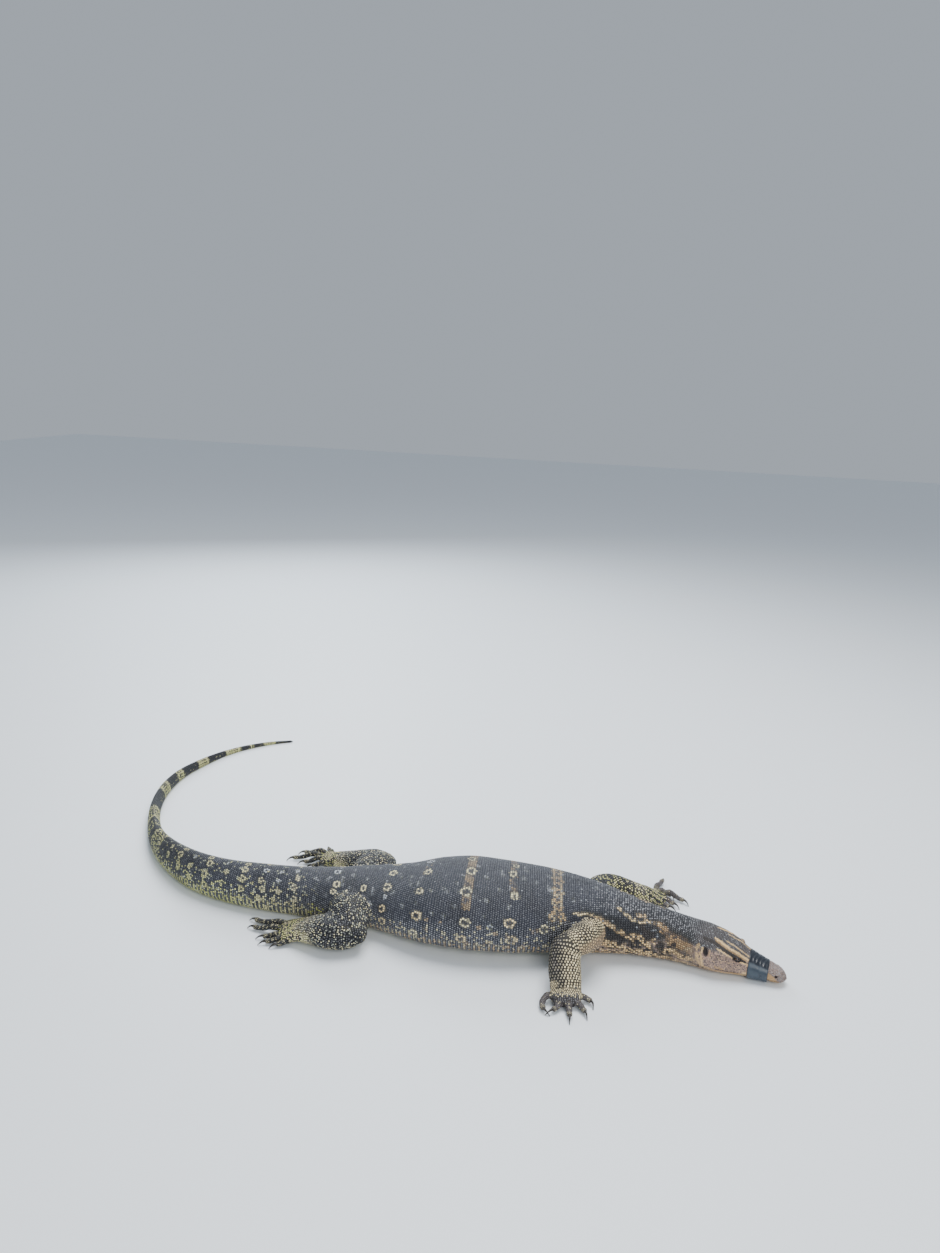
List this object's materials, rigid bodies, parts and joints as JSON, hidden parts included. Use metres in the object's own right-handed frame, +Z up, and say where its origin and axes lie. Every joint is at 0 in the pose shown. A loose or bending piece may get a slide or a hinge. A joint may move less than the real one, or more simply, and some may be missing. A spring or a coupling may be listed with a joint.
{
  "type": "water monitor lizard",
  "caption": "Life-size still water monitor lizard lying flat on the floor, legs spread, tail swept round behind it, with a dark tape band round the snout.",
  "frame": {"origin": "on the floor under the middle of the trunk, on the flat of the belly", "axes": "+X along the trunk towards the head, +Y to the animal's left, +Z up"},
  "size_m": [1.1481, 0.8356, 0.107],
  "materials": {
    "skin": "satin, scaly hide, slate black with rows of yellow rings",
    "foot_skin": "satin, scaly hide with dark claws",
    "eye": "wet gloss",
    "tape": "semi-gloss, wrinkled"
  },
  "bodies": {
    "root": {"head": "skin", "neck": "skin", "torso": "skin", "tail_1": "skin", "tail_2": "skin", "tail_3": "skin", "tail_4": "skin", "foreleg_right": "skin", "forefoot_right": "foot_skin", "foreleg_left": "skin", "forefoot_left": "foot_skin", "hindleg_right": "skin", "hindfoot_right": "foot_skin", "hindleg_left": "skin", "hindfoot_left": "foot_skin", "eye_left": "eye", "eye_right": "eye", "snout_band": "tape"}
  },
  "joints": []
}
